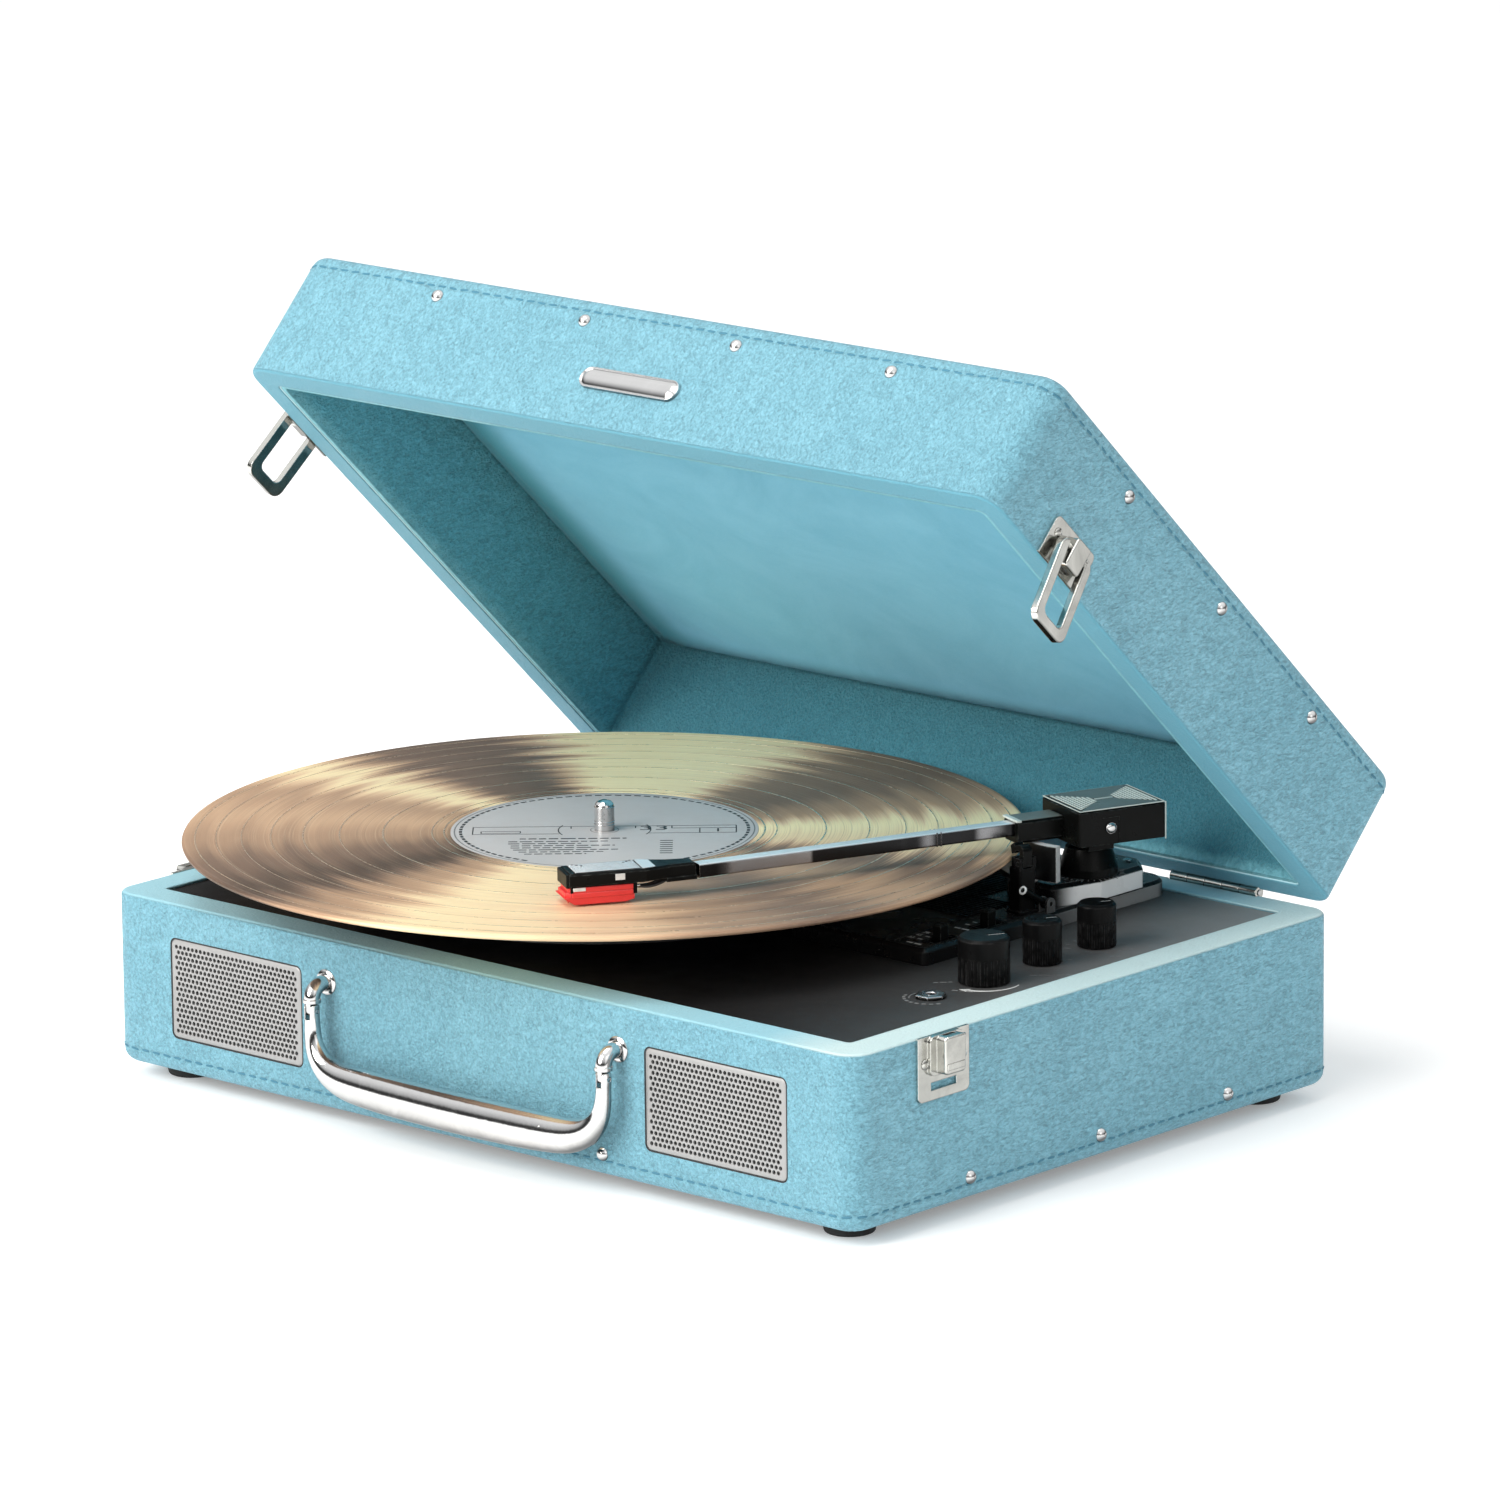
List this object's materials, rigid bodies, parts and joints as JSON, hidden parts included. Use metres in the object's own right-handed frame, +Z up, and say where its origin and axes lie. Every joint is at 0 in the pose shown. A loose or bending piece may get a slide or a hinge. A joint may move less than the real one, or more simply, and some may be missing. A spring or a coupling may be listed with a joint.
{
  "type": "suitcase record player",
  "caption": "Portable record player in a leatherette suitcase: hinged lid, two front speakers, belt-driven platter with record, tonearm with cue lift, knobs, bail handle, loop latches.",
  "frame": {"origin": "centre of the case's flat underside; the feet stand 5.5 mm below it", "axes": "+X to the right seen from the front, +Y to the back where the lid hinges, +Z up"},
  "size_m": [0.3766, 0.3365, 0.284],
  "materials": {
    "case_leatherette": "embossed pebble grain, satin",
    "lid_leatherette": "embossed pebble grain, satin",
    "liner_leatherette": "embossed pebble grain, matte",
    "inner_pad_suede": "brushed microfibre",
    "fibreboard": "raw fibreboard",
    "deck_black": "fine spark-eroded texture",
    "plinth_black": "satin moulded",
    "chrome": "polished",
    "nickel": "polished nickel",
    "silver_mesh": "perforated sheet, silver lacquer",
    "black_rubber": "matte",
    "gold_vinyl": "metallic pressed vinyl",
    "paper_label": "coated paper",
    "platter_black": "moulded",
    "felt_mat": "felt",
    "steel": "plain",
    "brass": "turned",
    "arm_silver": "polished tube",
    "red_stylus": "moulded",
    "black_gloss": "moulded",
    "board_green": "solder mask",
    "speaker_black": "pressed steel basket, painted",
    "motor_steel": "plated can",
    "weight_steel": "raw"
  },
  "bodies": {
    "root": {"base_shell": "case_leatherette", "bottom_panel": "fibreboard", "deck_plate": "deck_black", "rubber_feet": "black_rubber", "foot_screws": "steel", "base_rivets": "chrome", "speaker_grilles": "silver_mesh", "speaker_drivers": "speaker_black", "amplifier_board": "board_green", "control_pots": "steel", "headphone_jack": "black_gloss", "rear_socket_panel": "deck_black", "rear_sockets": "black_gloss", "rear_panel_screws": "steel", "motor": "motor_steel", "spindle_bearing": "brass", "drive_belt": "black_rubber", "tonearm_plinth": "plinth_black", "pivot_slab": "plinth_black", "turret_base": "plinth_black", "arm_rest_post": "black_gloss", "switch_bodies": "steel", "handle_posts": "chrome", "handle_pins": "steel", "base_hinge_leaves": "nickel", "hinge_pins": "steel", "base_latch_catches": "nickel"},
    "platter": {"platter": "platter_black", "spindle": "steel", "slip_mat": "felt_mat"},
    "record": {"record_disc": "gold_vinyl", "record_label": "paper_label"},
    "motor_pulley": {"motor_pulley": "brass"},
    "handle": {"handle_bail": "chrome"},
    "volume_knob": {"volume_knob": "black_gloss"},
    "source_knob": {"source_knob": "black_gloss"},
    "tone_knob": {"tone_knob": "black_gloss"},
    "speed_switch": {"speed_switch": "black_gloss"},
    "stop_switch": {"stop_switch": "black_gloss"},
    "cue_lever": {"cue_lever": "black_gloss"},
    "lift_saddle": {"lift_saddle": "plinth_black"},
    "arm_rest_clip": {"arm_rest_clip": "black_gloss"},
    "arm_yoke": {"arm_yoke": "black_gloss"},
    "tonearm": {"arm_housing": "black_gloss", "counterweight": "weight_steel", "arm_pivot_screws": "steel", "arm_sleeve": "black_gloss", "arm_tube": "arm_silver", "headshell": "black_gloss", "cartridge_body": "black_gloss", "stylus": "red_stylus"},
    "lid": {"lid_shell": "lid_leatherette", "lid_liner": "liner_leatherette", "lid_inner_panel": "inner_pad_suede", "lid_badge": "chrome", "lid_rivets": "chrome", "lid_hinge_leaves": "nickel", "lid_latch_plates": "nickel"},
    "left_latch_loop": {"left_latch_loop": "nickel"},
    "right_latch_loop": {"right_latch_loop": "nickel"}
  },
  "joints": [
    {"name": "lid_hinge", "type": "hinge", "parent": "root", "child": "lid", "pos_m": [0, 0.12958, 0.0636], "axis": [-1, 0, 0], "range_deg": [-43.88, 0]},
    {"name": "platter_spin", "type": "hinge", "parent": "root", "child": "platter", "pos_m": [-0.0344, -0.0223, 0.08], "axis": [0, 0, -1], "continuous": true},
    {"name": "pulley_spin", "type": "hinge", "parent": "root", "child": "motor_pulley", "pos_m": [-0.09502, 0.0127, 0.076], "axis": [0, 0, -1], "continuous": true},
    {"name": "record_lift_off", "type": "slide", "parent": "platter", "child": "record", "axis": [0, -0.98, 0.199], "range_m": [0, 0.63]},
    {"name": "handle_swing", "type": "hinge", "parent": "root", "child": "handle", "pos_m": [0, -0.1365, 0.0384], "axis": [-1, 0, 0], "range_deg": [0, 90]},
    {"name": "volume_turn", "type": "hinge", "parent": "root", "child": "volume_knob", "pos_m": [0.144, -0.0222, 0.07], "axis": [0, 0, -1], "range_deg": [-150, 150]},
    {"name": "source_turn", "type": "hinge", "parent": "root", "child": "source_knob", "pos_m": [0.1425, 0.0106, 0.07], "axis": [0, 0, -1], "range_deg": [-30, 30]},
    {"name": "tone_turn", "type": "hinge", "parent": "root", "child": "tone_knob", "pos_m": [0.1423, 0.0403, 0.07], "axis": [0, 0, -1], "range_deg": [-150, 150]},
    {"name": "speed_slide", "type": "slide", "parent": "root", "child": "speed_switch", "axis": [0, 1, 0], "range_m": [-0.0025, 0.0025]},
    {"name": "stop_slide", "type": "slide", "parent": "root", "child": "stop_switch", "axis": [0, 1, 0], "range_m": [-0.0025, 0.0025]},
    {"name": "cue_lift", "type": "hinge", "parent": "root", "child": "cue_lever", "pos_m": [0.11255, 0.048, 0.071], "axis": [-1, 0, 0], "range_deg": [0, 50]},
    {"name": "saddle_rise", "type": "slide", "parent": "root", "child": "lift_saddle", "axis": [0, 0, 1], "range_m": [0, 0.0015]},
    {"name": "rest_clip_swing", "type": "hinge", "parent": "root", "child": "arm_rest_clip", "pos_m": [0.10877, 0.04137, 0.0864], "axis": [0.1736, 0.9848, 0], "range_deg": [0, 60]},
    {"name": "arm_swing", "type": "hinge", "parent": "root", "child": "arm_yoke", "pos_m": [0.1085, 0.076, 0.096], "axis": [0, 0, 1], "range_deg": [-15, 15]},
    {"name": "arm_tilt", "type": "hinge", "parent": "arm_yoke", "child": "tonearm", "pos_m": [0.1085, 0.076, 0.096], "axis": [-0.9304, 0.3665, 0], "range_deg": [0, 2.7]},
    {"name": "left_latch_swing", "type": "hinge", "parent": "lid", "child": "left_latch_loop", "pos_m": [-0.1822, -0.01807, 0.21819], "axis": [0, 0.7209, -0.6931], "range_deg": [-8, 110]},
    {"name": "right_latch_swing", "type": "hinge", "parent": "lid", "child": "right_latch_loop", "pos_m": [0.1822, -0.01807, 0.21819], "axis": [0, -0.7209, 0.6931], "range_deg": [-8, 110]}
  ],
  "couplings": [
    {"joint": "pulley_spin", "follows": "platter_spin", "ratio": 11},
    {"joint": "record_lift_off", "follows": "lid_hinge", "m_per_rad": -0.80965},
    {"joint": "saddle_rise", "follows": "arm_tilt", "m_per_rad": 0.0297},
    {"joint": "cue_lift", "follows": "arm_tilt", "ratio": 18.518}
  ]
}
